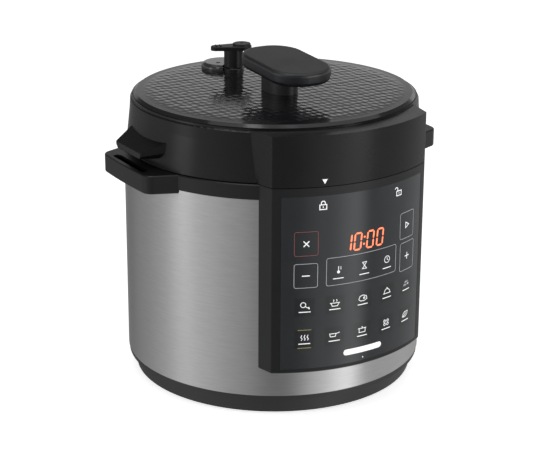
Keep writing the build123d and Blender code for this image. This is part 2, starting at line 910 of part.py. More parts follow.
with BuildPart() as sensor_cap:
    add(
        turned(
            [
                (0, sensor_stem_bottom),
                (3, sensor_stem_bottom),
                (3, sensor_top - sensor_sheet),
                (sensor_radius - 1.4, sensor_top - sensor_sheet),
                (sensor_radius - 1.4, sensor_skirt_bottom),
                (sensor_radius, sensor_skirt_bottom),
                (sensor_radius, sensor_top - 0.6),
                (sensor_radius - 0.6, sensor_top),
                (0, sensor_top),
            ]
        )
    )
keep(sensor_cap, "sensor_cap")

spring_bottom = bracket_bottom + bracket_sheet
spring_height = sensor_top - sensor_sheet - spring_bottom
with BuildPart() as sensor_spring:
    with BuildLine(Plane.XY.offset(spring_bottom + 0.7)) as coil:
        Helix(pitch=(spring_height - 1.4) / spring_turns, height=spring_height - 1.4, radius=spring_radius)
    with BuildSketch(Plane(coil.line @ 0, z_dir=coil.line % 0)):
        Circle(0.6)
    sweep(path=coil.line)
keep(sensor_spring, "sensor_spring")

with BuildPart() as inner_pot:
    with BuildSketch(Plane.XZ):
        with BuildLine():
            inside = pot_radius - pot_wall
            Polyline((0, pot_bottom), (pot_radius - pot_corner, pot_bottom))
            RadiusArc(
                (pot_radius - pot_corner, pot_bottom),
                (pot_radius, pot_bottom + pot_corner),
                -pot_corner,
            )
            Polyline(
                (pot_radius, pot_bottom + pot_corner),
                (pot_radius, pot_rim_bottom),
                (pot_rim_radius, pot_rim_bottom),
                (pot_rim_radius, pot_rim_top),
                (inside, pot_rim_top),
                (inside, pot_bottom + pot_corner),
            )
            RadiusArc(
                (inside, pot_bottom + pot_corner),
                (pot_radius - pot_corner, pot_bottom + pot_wall),
                pot_corner - pot_wall,
            )
            Polyline(
                (pot_radius - pot_corner, pot_bottom + pot_wall),
                (0, pot_bottom + pot_wall),
                (0, pot_bottom),
            )
        make_face()
    revolve(axis=Axis.Z)
keep(inner_pot, "inner_pot")

with BuildPart() as sealing_ring:
    add(
        turned(
            [
                (103.3, 217.4),
                (112.3, 217.4),
                (112.3, 209),
                (115.2, 206.6),
                (115.2, 203.2),
                (109.4, 203.2),
                (109.4, 201.5),
                (106, 201.5),
                (106, 214),
                (103.3, 214),
            ]
        )
    )
keep(sealing_ring, "sealing_ring")

with BuildPart() as seal_rack:
    add(tube(101.5, 103, 204, 217.2))
    add(tube(103, 105.7, 204, 205.2))
keep(seal_rack, "seal_rack")


# ----------------------------------------------------------------------- lid

metal_bottom = rim_top - 1
metal_top = rim_top + 1
metal_radius = 117.7
metal_wall = 1.8
lid_lip_inner = 119.0
lid_screw_circle = 88.0
lid_screw_angle = 45.0
grip_screws_at = ((0.0, -22.0), (0.0, 4.0))
lid_ceiling = rim_top + 43
plate_bottom = rim_top + 45.5


def lid_holes(bottom, top):
    """Passages for the steam pipe, the float and the grip's screws."""
    with BuildPart() as cutter:
        add(upright(pipe_radius + screw_gap, bottom, top, 0, valve_y))
        add(upright(float_radius + slide_gap, bottom, top, float_x, float_y))
    return cutter.part


with BuildPart() as ear_shape:
    with BuildSketch(Plane.YZ.offset(body_radius - 13)):
        with BuildLine():
            Polyline(
                (-ear_root_half_width, ear_root_top),
                (-ear_root_half_width, ear_bottom + 7),
                (-ear_root_half_width + 7, ear_bottom),
                (ear_root_half_width - 7, ear_bottom),
                (ear_root_half_width, ear_bottom + 7),
                (ear_root_half_width, ear_root_top),
                close=True,
            )
        make_face()
    with BuildSketch(Plane.YZ.offset(ear_reach)):
        with BuildLine():
            Polyline(
                (-ear_tip_half_width, ear_tip_top),
                (-ear_tip_half_width, ear_bottom + 3),
                (-ear_tip_half_width + 3, ear_bottom),
                (ear_tip_half_width - 3, ear_bottom),
                (ear_tip_half_width, ear_bottom + 3),
                (ear_tip_half_width, ear_tip_top),
                close=True,
            )
        make_face()
    loft(ruled=True)
    fillet(ear_shape.edges().group_by(Axis.X)[-1], 1.0)

with BuildPart() as lid_cover:
    with BuildSketch(Plane.XZ):
        with BuildLine():
            Polyline(
                (0, lid_bottom),
                (lid_bottom_radius, lid_bottom),
                (lid_middle_radius, lid_middle_height),
                (lid_edge_radius, lid_edge - 3),
            )
            RadiusArc((lid_edge_radius, lid_edge - 3), (lid_edge_radius - 1.5, lid_edge), 3)
            Polyline(
                (lid_edge_radius - 1.5, lid_edge),
                (plate_radius + 0.4, lid_edge),
                (plate_radius + 0.4, plate_bottom),
                (0, plate_bottom),
                (0, lid_bottom),
            )
        make_face()
    revolve(axis=Axis.Z)
    add(bulge_block(0, lid_bottom, lid_shelf))
    add(upright(plate_radius + 0.4, plate_bottom, lid_edge + 1), mode=Mode.SUBTRACT)
    add(ear_shape.part)
    add(ear_shape.part.mirror(Plane.YZ))
    add(
        turned(
            [
                (0, lid_bottom - 1),
                (lid_lip_inner, lid_bottom - 1),
                (lid_lip_inner, lid_bottom + wall),
                (lid_bottom_radius - wall - 0.2, lid_bottom + wall),
                (lid_edge_radius - wall, lid_ceiling),
                (0, lid_ceiling),
            ]
        ),
        mode=Mode.SUBTRACT,
    )
    add(bulge_block(wall, lid_bottom + wall, lid_ceiling), mode=Mode.SUBTRACT)
    with BuildSketch(Plane.XY.offset(metal_top)):
        with PolarLocations(lid_screw_circle, 4, start_angle=lid_screw_angle):
            Circle(5)
            Circle(2 + screw_gap, mode=Mode.SUBTRACT)
    extrude(amount=lid_ceiling - metal_top)
    with BuildSketch(Plane.XY.offset(lid_ceiling)):
        with Locations(*grip_screws_at):
            Circle(2 + screw_gap)
    extrude(amount=plate_bottom - lid_ceiling, mode=Mode.SUBTRACT)
    add(lid_holes(lid_ceiling - 1, plate_bottom + 1), mode=Mode.SUBTRACT)
keep(lid_cover, "lid_cover")

with BuildPart() as lid_top_plate:
    add(
        turned(
            [
                (0, plate_bottom),
                (plate_radius, plate_bottom),
                (plate_radius, plate_top - 2.5),
                (plate_radius - 3, plate_top),
                (0, plate_top),
            ]
        )
    )
    with BuildSketch(Plane.XY.offset(plate_bottom)):
        with Locations(*grip_screws_at):
            Circle(2 + screw_gap)
    extrude(amount=plate_top - plate_bottom, mode=Mode.SUBTRACT)
    add(lid_holes(plate_bottom - 1, plate_top + 1), mode=Mode.SUBTRACT)
keep(lid_top_plate, "lid_top_plate")

with BuildPart() as valve_pad:
    add(upright(pad_radius, plate_top, pad_top, 0, pad_y))
    fillet(valve_pad.edges().group_by(Axis.Z)[-1], 4)
    add(upright(knob_radius + 1.3, plate_top - 1, pad_top + 1, 0, valve_y), mode=Mode.SUBTRACT)
    add(lid_holes(plate_top - 1, pad_top + 1), mode=Mode.SUBTRACT)
keep(valve_pad, "valve_pad")

with BuildPart() as valve_collar:
    add(upright(knob_radius + 0.3, plate_top, collar_top, 0, valve_y))
    chamfer(valve_collar.edges().group_by(Axis.Z)[-1], 0.8)
    add(upright(pipe_radius + screw_gap, plate_top, collar_top, 0, valve_y), mode=Mode.SUBTRACT)
keep(valve_collar, "valve_collar")

with BuildPart() as metal_lid:
    add(
        turned(
            [
                (0, metal_bottom),
                (metal_radius - metal_wall, metal_bottom),
                (metal_radius - metal_wall, lug_bottom),
                (metal_radius, lug_bottom),
                (metal_radius, metal_top - 1.5),
                (metal_radius - 1.5, metal_top),
                (0, metal_top),
            ]
        )
    )
    for index in range(tooth_count):
        with BuildSketch(Plane.XY.offset(lug_bottom)):
            facing = index * 360 / tooth_count
            add(sector(metal_radius - metal_wall / 2, lug_outer, lug_half_angle, facing=facing))
        extrude(amount=lug_top - lug_bottom)
    with BuildSketch(Plane.XY.offset(metal_bottom)):
        with PolarLocations(lid_screw_circle, 4, start_angle=lid_screw_angle):
            Circle(2 + screw_gap)
    extrude(amount=metal_top - metal_bottom, mode=Mode.SUBTRACT)
    add(lid_holes(metal_bottom - 1, metal_top + 1), mode=Mode.SUBTRACT)
keep(metal_lid, "metal_lid")

with BuildPart() as lid_screws:
    with PolarLocations(lid_screw_circle, 4, start_angle=lid_screw_angle):
        with Locations((0, 0, metal_bottom)):
            Cylinder(4, 1.8, align=(Align.CENTER, Align.CENTER, Align.MAX))
            Cylinder(2, 16, align=(Align.CENTER, Align.CENTER, Align.MIN))
keep(lid_screws, "lid_screws")


# ---------------------------------------------------------------------- grip

grip_plane = Plane((0, grip_centre_y, grip_top)).rotated((grip_tilt, 0, 0))
grip_normal = Axis(grip_plane.origin, grip_plane.z_dir)
stem_half_x = 14.5
stem_half_y = 22.0
stem_top = grip_top - 10.6

with BuildPart() as handle_cap:
    with BuildSketch(grip_plane):
        RectangleRounded(grip_width, grip_length, grip_corner)
    extrude(amount=-grip_cap_thickness)
    fillet(handle_cap.faces().sort_by(grip_normal)[-1].edges(), 3.5)
keep(handle_cap, "handle_cap")

with BuildPart() as handle_base:
    with BuildSketch(grip_plane.offset(-grip_cap_thickness)):
        RectangleRounded(grip_width - 1, grip_length - 1, grip_corner - 0.5)
    extrude(amount=-(grip_thickness - grip_cap_thickness))
    fillet(handle_base.faces().sort_by(grip_normal)[0].edges(), 4.0)
    with BuildSketch(Plane.XY.offset(plate_top)):
        with Locations((0, stem_centre_y)):
            Ellipse(stem_half_x, stem_half_y)
    extrude(amount=stem_top - plate_top)
    with BuildSketch(Plane.XY.offset(plate_top)):
        with Locations(*grip_screws_at):
            Circle(2 + screw_gap)
    extrude(amount=14, mode=Mode.SUBTRACT)
keep(handle_base, "handle_base")

with BuildPart() as grip_screws:
    for x, y in grip_screws_at:
        add(upright(3.6, lid_ceiling - 2, lid_ceiling, x, y))
        add(upright(2, lid_ceiling, plate_top + 12, x, y))
keep(grip_screws, "grip_screws")


# ------------------------------------------------- steam valve, float, lock

with BuildPart() as vent_pipe:
    add(upright(pipe_radius, metal_bottom - 4, pipe_top, 0, valve_y))
    add(upright(7, metal_bottom - 2, metal_bottom, 0, valve_y))
    chamfer(vent_pipe.edges().group_by(Axis.Z)[-1], 1.2)
    add(upright(pipe_bore, metal_bottom - 5, pipe_top + 1, 0, valve_y), mode=Mode.SUBTRACT)
keep(vent_pipe, "vent_pipe")

with BuildPart() as vent_nut:
    with BuildSketch(Plane.XY.offset(metal_top)):
        with Locations((0, valve_y)):
            RegularPolygon(7.5, 6)
            Circle(pipe_radius + screw_gap, mode=Mode.SUBTRACT)
    extrude(amount=4)
keep(vent_nut, "vent_nut")

shield_radius = 12.0
shield_wall = 0.8
shield_depth = 12.0

with BuildPart() as vent_shield:
    add(upright(shield_radius, metal_bottom - shield_depth, metal_bottom, 0, valve_y))
    add(
        upright(
            shield_radius - shield_wall,
            metal_bottom - shield_depth + shield_wall,
            metal_bottom + 1,
            0,
            valve_y,
        ),
        mode=Mode.SUBTRACT,
    )
    with BuildSketch(Plane.XY.offset(metal_bottom - shield_depth + 2)):
        with Locations((0, valve_y)):
            with PolarLocations(shield_radius, 8):
                Rectangle(4, 2.4)
    extrude(amount=shield_depth - 5, mode=Mode.SUBTRACT)
keep(vent_shield, "vent_shield")

slider_left = -53.0
slider_right = -37.0
slider_near = 66.0
slider_far = 104.0
slider_bottom = rim_top + 2.6
slider_top = rim_top + 7.0
guide_near = 62.0
guide_far = 88.0
guide_sheet = 1.2
arm_end = -9.6

with BuildPart() as lock_bracket:
    left = slider_left - 3
    right = slider_right + 3
    add(block(left, right, guide_near, guide_far, metal_top, metal_top + guide_sheet))
    for inner, outer in ((slider_left - 0.5, left), (slider_right + 0.5, right)):
        low = min(inner, outer)
        high = max(inner, outer)
        lip = 2.0 if inner < outer else -2.0
        rail_top = slider_top + slide_gap + guide_sheet
        add(block(low, high, guide_near, guide_far, metal_top, rail_top))
        add(
            block(
                min(low, low - lip),
                max(high, high - lip),
                guide_near,
                guide_far,
                slider_top + slide_gap,
                rail_top,
            )
        )
keep(lock_bracket, "lock_bracket")

with BuildPart() as lock_slider:
    add(block(slider_left, slider_right, slider_near, slider_far, slider_bottom, slider_top))
    fillet(lock_slider.edges().filter_by(Axis.Z), 1.5)
    add(block(slider_right - 2, arm_end, 96, 100, slider_bottom, slider_top - 1))
keep(lock_slider, "lock_slider")

boss_x = -8 * cos(radians(lever_angle))
boss_y = valve_y - 8 * sin(radians(lever_angle))
lever_plane = Plane((0, valve_y, knob_top - 0.5)).rotated((0, 0, lever_angle))

with BuildPart() as lever_shape:
    with BuildSketch(lever_plane):
        with Locations((-8, 0)):
            Circle(9.5)
        with Locations((17, 0)):
            Circle(5.2)
        make_hull()
    extrude(amount=lever_top - knob_top + 0.5)
    chamfer(lever_shape.edges().group_by(Axis.Z)[-1], 0.7)

with BuildPart() as boss_shape:
    add(upright(8.6, lever_top - 1, boss_top, boss_x, boss_y))
    fillet(boss_shape.edges().group_by(Axis.Z)[-1], 0.8)
    add(upright(1.4, boss_top - 3, boss_top + 1, boss_x, boss_y), mode=Mode.SUBTRACT)

with BuildPart() as valve_knob:
    add(upright(knob_radius, knob_bottom, knob_top, 0, valve_y))
    add(lever_shape.part)
    add(boss_shape.part)
    with BuildSketch(lever_plane.offset(lever_top - knob_top + 0.2)):
        with Locations((13, 0), (17, 0)):
            Rectangle(1.2, 7)
    extrude(amount=0.9)
    add(upright(6, knob_bottom - 1, knob_top, 0, valve_y), mode=Mode.SUBTRACT)
keep(valve_knob, "valve_knob")

with BuildPart() as valve_weight:
    add(upright(5.9, pipe_top + slide_gap, knob_top - 0.1, 0, valve_y))
    chamfer(valve_weight.edges().group_by(Axis.Z)[0], 1.2)
keep(valve_weight, "valve_weight")

with BuildPart() as float_pin:
    add(upright(float_radius, 208, 273.5, float_x, float_y))
    fillet(float_pin.edges().group_by(Axis.Z)[-1], 0.6)
    add(upright(4.5, 208, 209.6, float_x, float_y))
keep(float_pin, "float_pin")

with BuildPart() as float_seal:
    add(upright(4.8, 210, 212.4, float_x, float_y))
    add(upright(float_radius, 209, 213, float_x, float_y), mode=Mode.SUBTRACT)
keep(float_seal, "float_seal")
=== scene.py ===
import bpy
import math
from mathutils import Matrix, Vector


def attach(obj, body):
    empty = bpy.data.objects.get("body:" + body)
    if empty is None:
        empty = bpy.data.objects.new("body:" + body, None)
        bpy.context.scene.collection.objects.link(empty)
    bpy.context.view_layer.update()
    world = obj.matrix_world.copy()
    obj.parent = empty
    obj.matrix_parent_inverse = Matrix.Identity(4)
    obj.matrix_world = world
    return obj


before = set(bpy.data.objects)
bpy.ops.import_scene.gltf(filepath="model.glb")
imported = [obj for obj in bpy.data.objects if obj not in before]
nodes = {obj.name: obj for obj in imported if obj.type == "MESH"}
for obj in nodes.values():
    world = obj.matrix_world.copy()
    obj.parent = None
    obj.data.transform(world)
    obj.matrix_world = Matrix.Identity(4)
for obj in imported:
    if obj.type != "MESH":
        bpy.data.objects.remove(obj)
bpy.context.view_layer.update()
scene = bpy.context.scene
mm = 0.001
print("cooker frame loaded,", len(nodes), "pieces")

# how fine the noises are, in cells per metre
grainSizes = {
    "mouldedClouds": 18, "metalClouds": 40, "plateClouds": 22, "filmClouds": 30,
    "plateFine": 3200, "filmFine": 3000, "inkFine": 2500, "floorFine": 60,
}
noiseSpan = (0.3, 0.7)  # most of a noise's values lie between these


def startMaterial(name):
    mat = bpy.data.materials.new(name)
    mat.use_nodes = True
    tree = mat.node_tree
    return mat, tree, tree.nodes["Principled BSDF"]


def put(tree, kind, **sockets):
    node = tree.nodes.new(kind)
    for key, value in sockets.items():
        node.inputs[key.replace("_", " ")].default_value = value
    return node


def calc(tree, operation, first, second=None):
    node = tree.nodes.new("ShaderNodeMath")
    node.operation = operation
    for slot, value in enumerate((first, second)):
        if value is None:
            continue
        if isinstance(value, (int, float)):
            node.inputs[slot].default_value = value
        else:
            tree.links.new(value, node.inputs[slot])
    return node.outputs[0]


def place(tree, scale=(1, 1, 1)):
    coords = put(tree, "ShaderNodeTexCoord")
    mapping = put(tree, "ShaderNodeMapping")
    mapping.inputs["Scale"].default_value = scale
    tree.links.new(coords.outputs["Object"], mapping.inputs["Vector"])
    return mapping.outputs["Vector"]


def splitPlace(tree):
    coords = put(tree, "ShaderNodeTexCoord")
    split = put(tree, "ShaderNodeSeparateXYZ")
    tree.links.new(coords.outputs["Object"], split.inputs[0])
    return split.outputs


def joinPlace(tree, **parts):
    join = put(tree, "ShaderNodeCombineXYZ")
    for axis, value in parts.items():
        tree.links.new(value, join.inputs[axis])
    return join.outputs[0]


def radiusOf(tree, x, y):
    squares = calc(tree, "ADD", calc(tree, "MULTIPLY", x, x), calc(tree, "MULTIPLY", y, y))
    return calc(tree, "SQRT", squares)


def aroundAxis(tree, around, up):
    # wraps a texture round the upright axis
    x, y, z = splitPlace(tree)
    turn = calc(tree, "ARCTAN2", y, x)
    return joinPlace(tree, X=calc(tree, "MULTIPLY", turn, around), Z=calc(tree, "MULTIPLY", z, up))


def noise(tree, vector, scale, detail, rough):
    node = put(tree, "ShaderNodeTexNoise", Scale=scale, Detail=detail, Roughness=rough)
    tree.links.new(vector, node.inputs["Vector"])
    return node.outputs["Fac"]


def mixOf(tree, first, second, share):
    # share is how much the first one counts
    return calc(tree, "ADD", calc(tree, "MULTIPLY", first, share),
                calc(tree, "MULTIPLY", second, 1 - share))


def spread(tree, value, low, high, start=0.0, end=1.0):
    node = put(tree, "ShaderNodeMapRange")
    tree.links.new(value, node.inputs["Value"])
    node.inputs["From Min"].default_value = start
    node.inputs["From Max"].default_value = end
    node.inputs["To Min"].default_value = low
    node.inputs["To Max"].default_value = high
    return node.outputs["Result"]


def blendColours(tree, value, first, second):
    node = put(tree, "ShaderNodeMix")
    node.data_type = "RGBA"
    node.inputs[6].default_value = (*first, 1)
    node.inputs[7].default_value = (*second, 1)
    tree.links.new(value, node.inputs[0])
    return node.outputs[2]


def bump(tree, height, strength, distance, shader=None, before=None):
    node = put(tree, "ShaderNodeBump", Strength=strength, Distance=distance)
    tree.links.new(height, node.inputs["Height"])
    if before is not None:
        tree.links.new(before, node.inputs["Normal"])
    if shader is not None:
        tree.links.new(node.outputs[0], shader.inputs["Normal"])
    return node.outputs[0]


def paint(tree, shader, look, shade, wear, less, more):
    # colour follows shade, roughness follows wear
    colour = blendColours(tree, shade, look["dark"], look["light"])
    tree.links.new(colour, shader.inputs["Base Color"])
    rough = spread(tree, wear, look["rough"] - less, look["rough"] + more, *noiseSpan)
    tree.links.new(rough, shader.inputs["Roughness"])


def mouldedPlastic(name, look):
    mat, tree, shader = startMaterial(name)
    fine = noise(tree, place(tree), look["grainScale"], detail=4, rough=0.6)
    broad = noise(tree, place(tree), grainSizes["mouldedClouds"], detail=3, rough=0.5)
    shade = calc(tree, "MULTIPLY", calc(tree, "ADD", fine, broad), 0.5)
    paint(tree, shader, look, shade, broad, look["roughSpread"], look["roughSpread"])
    bump(tree, fine, look["grain"], 0.0002, shader)
    shader.inputs["Specular IOR Level"].default_value = look.get("shine", 0.5)
    shader.inputs["Coat Weight"].default_value = look.get("coat", 0.0)
    shader.inputs["Coat Roughness"].default_value = 0.05
    return mat


bodyPlastic = mouldedPlastic("bodyPlastic", {
    "dark": (0.006, 0.0062, 0.007), "light": (0.010, 0.0102, 0.0115), "shine": 0.36,
    "grainScale": 2600, "grain": 0.10, "rough": 0.34, "roughSpread": 0.05,
})
basePlastic = mouldedPlastic("basePlastic", {
    "dark": (0.014, 0.014, 0.0155), "light": (0.024, 0.024, 0.026),
    "grainScale": 2400, "grain": 0.16, "rough": 0.46, "roughSpread": 0.05,
})
lidPlastic = mouldedPlastic("lidPlastic", {
    "dark": (0.005, 0.0051, 0.0058), "light": (0.008, 0.0082, 0.0092), "shine": 0.30,
    "grainScale": 3000, "grain": 0.05, "rough": 0.26, "roughSpread": 0.04,
})
gripPlastic = mouldedPlastic("gripPlastic", {
    "dark": (0.007, 0.0078, 0.0095), "light": (0.014, 0.0155, 0.018), "shine": 0.62,
    "grainScale": 2200, "grain": 0.22, "rough": 0.38, "roughSpread": 0.05,
})
knobPlastic = mouldedPlastic("knobPlastic", {
    "dark": (0.007, 0.0073, 0.008), "light": (0.012, 0.0124, 0.0135), "shine": 0.4,
    "grainScale": 2400, "grain": 0.18, "rough": 0.36, "roughSpread": 0.06,
})
# valve pad: base grey well above the other black plastics is a painted reflection of the pale room,
# added to its real coated gloss
padPlasticPaintedReflection = mouldedPlastic("padPlasticPaintedReflection", {
    "dark": (0.030, 0.031, 0.033), "light": (0.045, 0.046, 0.049),
    "grainScale": 2400, "grain": 0.04, "rough": 0.16, "roughSpread": 0.04, "coat": 0.4,
})
sliderPlastic = mouldedPlastic("sliderPlastic", {
    "dark": (0.45, 0.45, 0.43), "light": (0.56, 0.56, 0.54),
    "grainScale": 2000, "grain": 0.12, "rough": 0.42, "roughSpread": 0.05,
})
cupPlastic = mouldedPlastic("cupPlastic", {
    "dark": (0.46, 0.49, 0.51), "light": (0.56, 0.59, 0.61),
    "grainScale": 1600, "grain": 0.03, "rough": 0.12, "roughSpread": 0.04,
})
cupShader = cupPlastic.node_tree.nodes["Principled BSDF"]
cupShader.inputs["Transmission Weight"].default_value = 0.85
cupShader.inputs["IOR"].default_value = 1.46
socketPlastic = mouldedPlastic("socketPlastic", {
    "dark": (0.008, 0.008, 0.008), "light": (0.016, 0.016, 0.016),
    "grainScale": 2600, "grain": 0.14, "rough": 0.42, "roughSpread": 0.06,
})
switchPlastic = mouldedPlastic("switchPlastic", {
    "dark": (0.50, 0.47, 0.40), "light": (0.62, 0.59, 0.52),
    "grainScale": 1800, "grain": 0.12, "rough": 0.45, "roughSpread": 0.06,
})
footRubber = mouldedPlastic("footRubber", {
    "dark": (0.012, 0.012, 0.012), "light": (0.03, 0.03, 0.03),
    "grainScale": 1500, "grain": 0.35, "rough": 0.72, "roughSpread": 0.08,
})
sealRubber = mouldedPlastic("sealRubber", {
    "dark": (0.50, 0.50, 0.48), "light": (0.62, 0.62, 0.60),
    "grainScale": 900, "grain": 0.10, "rough": 0.48, "roughSpread": 0.06,
})
sealShader = sealRubber.node_tree.nodes["Principled BSDF"]
sealShader.inputs["Subsurface Weight"].default_value = 0.25
sealShader.inputs["Subsurface Radius"].default_value = (0.002, 0.002, 0.002)
boardMask = mouldedPlastic("boardMask", {
    "dark": (0.008, 0.075, 0.028), "light": (0.016, 0.13, 0.05),
    "grainScale": 900, "grain": 0.10, "rough": 0.32, "roughSpread": 0.08,
})


def brushedSkin(name, look):
    # fine scratches run round the body, so the light smears up and down
    mat, tree, shader = startMaterial(name)
    shader.inputs["Metallic"].default_value = 1.0
    scratch = noise(tree, aroundAxis(tree, look["along"], look["across"]), 1.0, detail=6, rough=0.7)
    broad = aroundAxis(tree, look["along"] * 0.4, look["across"] * 0.12)
    streak = noise(tree, broad, 1.0, detail=3, rough=0.6)
    mixed = mixOf(tree, scratch, streak, 0.65)
    paint(tree, shader, look, spread(tree, mixed, 0.0, 1.0, 0.32, 0.68), mixed, 0.05, 0.06)
    shader.inputs["Anisotropic"].default_value = look["smear"]
    shader.inputs["Anisotropic Rotation"].default_value = look["smearTurn"]
    tangent = put(tree, "ShaderNodeTangent")
    tangent.direction_type = "RADIAL"
    tangent.axis = "Z"
    tree.links.new(tangent.outputs[0], shader.inputs["Tangent"])
    bump(tree, scratch, look["depth"], 0.00005, shader)
    return mat


skinLook = {
    "along": 14.0, "across": 5200.0, "depth": 0.10,
    "dark": (0.50, 0.50, 0.505), "light": (0.66, 0.66, 0.665),
    "rough": 0.34, "smear": 0.75, "smearTurn": 0.25,
}
ringLook = dict(skinLook, rough=0.28, across=3000.0)
innerLidLook = dict(skinLook, rough=0.20, across=1800.0, along=40.0, depth=0.05)
skinSteel = brushedSkin("skinSteel", skinLook)
ringSteel = brushedSkin("ringSteel", ringLook)
lidSteel = brushedSkin("lidSteel", innerLidLook)


def plainMetal(name, look):
    mat, tree, shader = startMaterial(name)
    shader.inputs["Metallic"].default_value = 1.0
    stretched = place(tree, look.get("stretch", (1, 1, 1)))
    fine = noise(tree, stretched, look["grainScale"], detail=5, rough=0.65)
    broad = noise(tree, place(tree), grainSizes["metalClouds"], detail=3, rough=0.5)
    paint(tree, shader, look, broad, fine, 0.07, 0.09)
    bump(tree, fine, look["grain"], 0.0001, shader)
    return mat


screwSteel = plainMetal("screwSteel", {
    "dark": (0.42, 0.42, 0.41), "light": (0.58, 0.58, 0.56),
    "grainScale": 1400, "rough": 0.32, "grain": 0.15,
})
pressedSteel = plainMetal("pressedSteel", {
    "dark": (0.46, 0.46, 0.46), "light": (0.62, 0.62, 0.62),
    "grainScale": 900, "rough": 0.36, "grain": 0.12,
})
turnedSteel = plainMetal("turnedSteel", {
    "dark": (0.55, 0.55, 0.55), "light": (0.70, 0.70, 0.70),
    "grainScale": 2500, "rough": 0.22, "grain": 0.10, "stretch": (0.1, 0.1, 3),
})
heaterSteel = plainMetal("heaterSteel", {
    "dark": (0.18, 0.16, 0.15), "light": (0.34, 0.31, 0.29),
    "grainScale": 1100, "rough": 0.45, "grain": 0.22,
})
contactBrass = plainMetal("contactBrass", {
    "dark": (0.62, 0.46, 0.20), "light": (0.78, 0.62, 0.33),
    "grainScale": 1500, "rough": 0.26, "grain": 0.10,
})


def spunAluminium(name, look):
    # rings left by the lathe: fine in radius, long round the axis
    mat, tree, shader = startMaterial(name)
    shader.inputs["Metallic"].default_value = look.get("metal", 1.0)
    x, y, z = splitPlace(tree)
    ringPlace = joinPlace(tree, X=calc(tree, "MULTIPLY", radiusOf(tree, x, y), look["rings"]),
                          Y=calc(tree, "MULTIPLY", z, look["rings"]))
    rings = noise(tree, ringPlace, 1.0, detail=4, rough=0.6)
    pits = noise(tree, place(tree), look["pitScale"], detail=4, rough=0.6)
    mixed = mixOf(tree, rings, pits, 0.6)
    paint(tree, shader, look, spread(tree, mixed, 0, 1, *noiseSpan), mixed, 0.08, 0.08)
    bump(tree, mixed, look["depth"], 0.0001, shader)
    return mat


nestAluminium = spunAluminium("nestAluminium", {
    "dark": (0.52, 0.52, 0.52), "light": (0.70, 0.70, 0.70),
    "rings": 900, "pitScale": 1200, "rough": 0.38, "depth": 0.2,
})
plateAluminium = spunAluminium("plateAluminium", {
    "dark": (0.44, 0.44, 0.44), "light": (0.62, 0.62, 0.62),
    "rings": 1600, "pitScale": 1500, "rough": 0.34, "depth": 0.3,
})
potCoating = spunAluminium("potCoating", {
    "dark": (0.055, 0.056, 0.06), "light": (0.10, 0.10, 0.105), "metal": 0.35,
    "rings": 500, "pitScale": 2600, "rough": 0.38, "depth": 0.15,
})


def ripplePlate(name, look):
    # glossy lid plate with shallow pressed dimples that fade out before its edge
    mat, tree, shader = startMaterial(name)
    x, y, z = splitPlace(tree)
    inside = spread(tree, radiusOf(tree, x, y), 1.0, 0.0, look["fadeFrom"], look["fadeTo"])
    cells = put(tree, "ShaderNodeTexVoronoi")
    cells.feature = "SMOOTH_F1"
    cells.inputs["Scale"].default_value = 1.0
    cells.inputs["Smoothness"].default_value = 0.5
    cells.inputs["Randomness"].default_value = look["stray"]
    tree.links.new(place(tree, look["cellsPerMetre"]), cells.inputs["Vector"])
    dimples = calc(tree, "MULTIPLY", cells.outputs["Distance"], inside)
    fine = noise(tree, place(tree), grainSizes["plateFine"], detail=3, rough=0.6)
    broad = noise(tree, place(tree), grainSizes["plateClouds"], detail=3, rough=0.5)
    paint(tree, shader, look, broad, broad, 0.03, 0.03)
    under = bump(tree, fine, 0.03, 0.0001)
    bump(tree, dimples, look["depth"], look["rise"], shader, under)
    return mat


lidGloss = ripplePlate("lidGloss", {
    "dark": (0.010, 0.0102, 0.0115), "light": (0.016, 0.0163, 0.018), "rough": 0.10,
    "cellsPerMetre": (150, 112, 150), "stray": 0.35, "depth": 0.5, "rise": 0.0006,
    "fadeFrom": 0.112, "fadeTo": 0.122,  # metres from the axis
})


def printedFilm(name, look):
    mat, tree, shader = startMaterial(name)
    fine = noise(tree, place(tree), grainSizes["filmFine"], detail=3, rough=0.6)
    broad = noise(tree, place(tree), grainSizes["filmClouds"], detail=3, rough=0.5)
    paint(tree, shader, look, broad, broad, 0.03, 0.03)
    bump(tree, fine, 0.02, 0.0001, shader)
    shader.inputs["Coat Weight"].default_value = look["coat"]
    shader.inputs["Coat Roughness"].default_value = 0.06
    shader.inputs["IOR"].default_value = 1.5
    return mat


filmGloss = printedFilm("filmGloss", {
    "dark": (0.011, 0.0125, 0.0145), "light": (0.018, 0.0205, 0.023), "rough": 0.16, "coat": 0.3,
})
tileGloss = printedFilm("tileGloss", {
    "dark": (0.006, 0.0065, 0.0075), "light": (0.011, 0.012, 0.0135), "rough": 0.16, "coat": 0.3,
})


def ink(name, colour, glow=0.0):
    mat, tree, shader = startMaterial(name)
    fine = noise(tree, place(tree), grainSizes["inkFine"], detail=3, rough=0.6)
    look = {"dark": [part * 0.88 for part in colour], "light": colour, "rough": 0.4}
    paint(tree, shader, look, fine, fine, 0.06, 0.06)
    bump(tree, fine, 0.05, 0.00005, shader)
    # emission: the display digits are really lit; on the white and grey print it is a painted glow
    if glow:
        shader.inputs["Emission Color"].default_value = (*colour, 1)
        shader.inputs["Emission Strength"].default_value = glow
    return mat


# the white and grey print get a painted glow, emission that brightens them though they are no lamp
whiteInkPaintedGlow = ink("whiteInkPaintedGlow", (0.90, 0.91, 0.92), glow=0.3)
greyInkPaintedGlow = ink("greyInkPaintedGlow", (0.46, 0.48, 0.50), glow=0.05)
inkRed = ink("inkRed", (0.30, 0.075, 0.08))
inkAmber = ink("inkAmber", (0.30, 0.26, 0.10))
digitGlow = ink("digitGlow", (1.0, 0.20, 0.085), glow=1.2)
print("finishes ready")

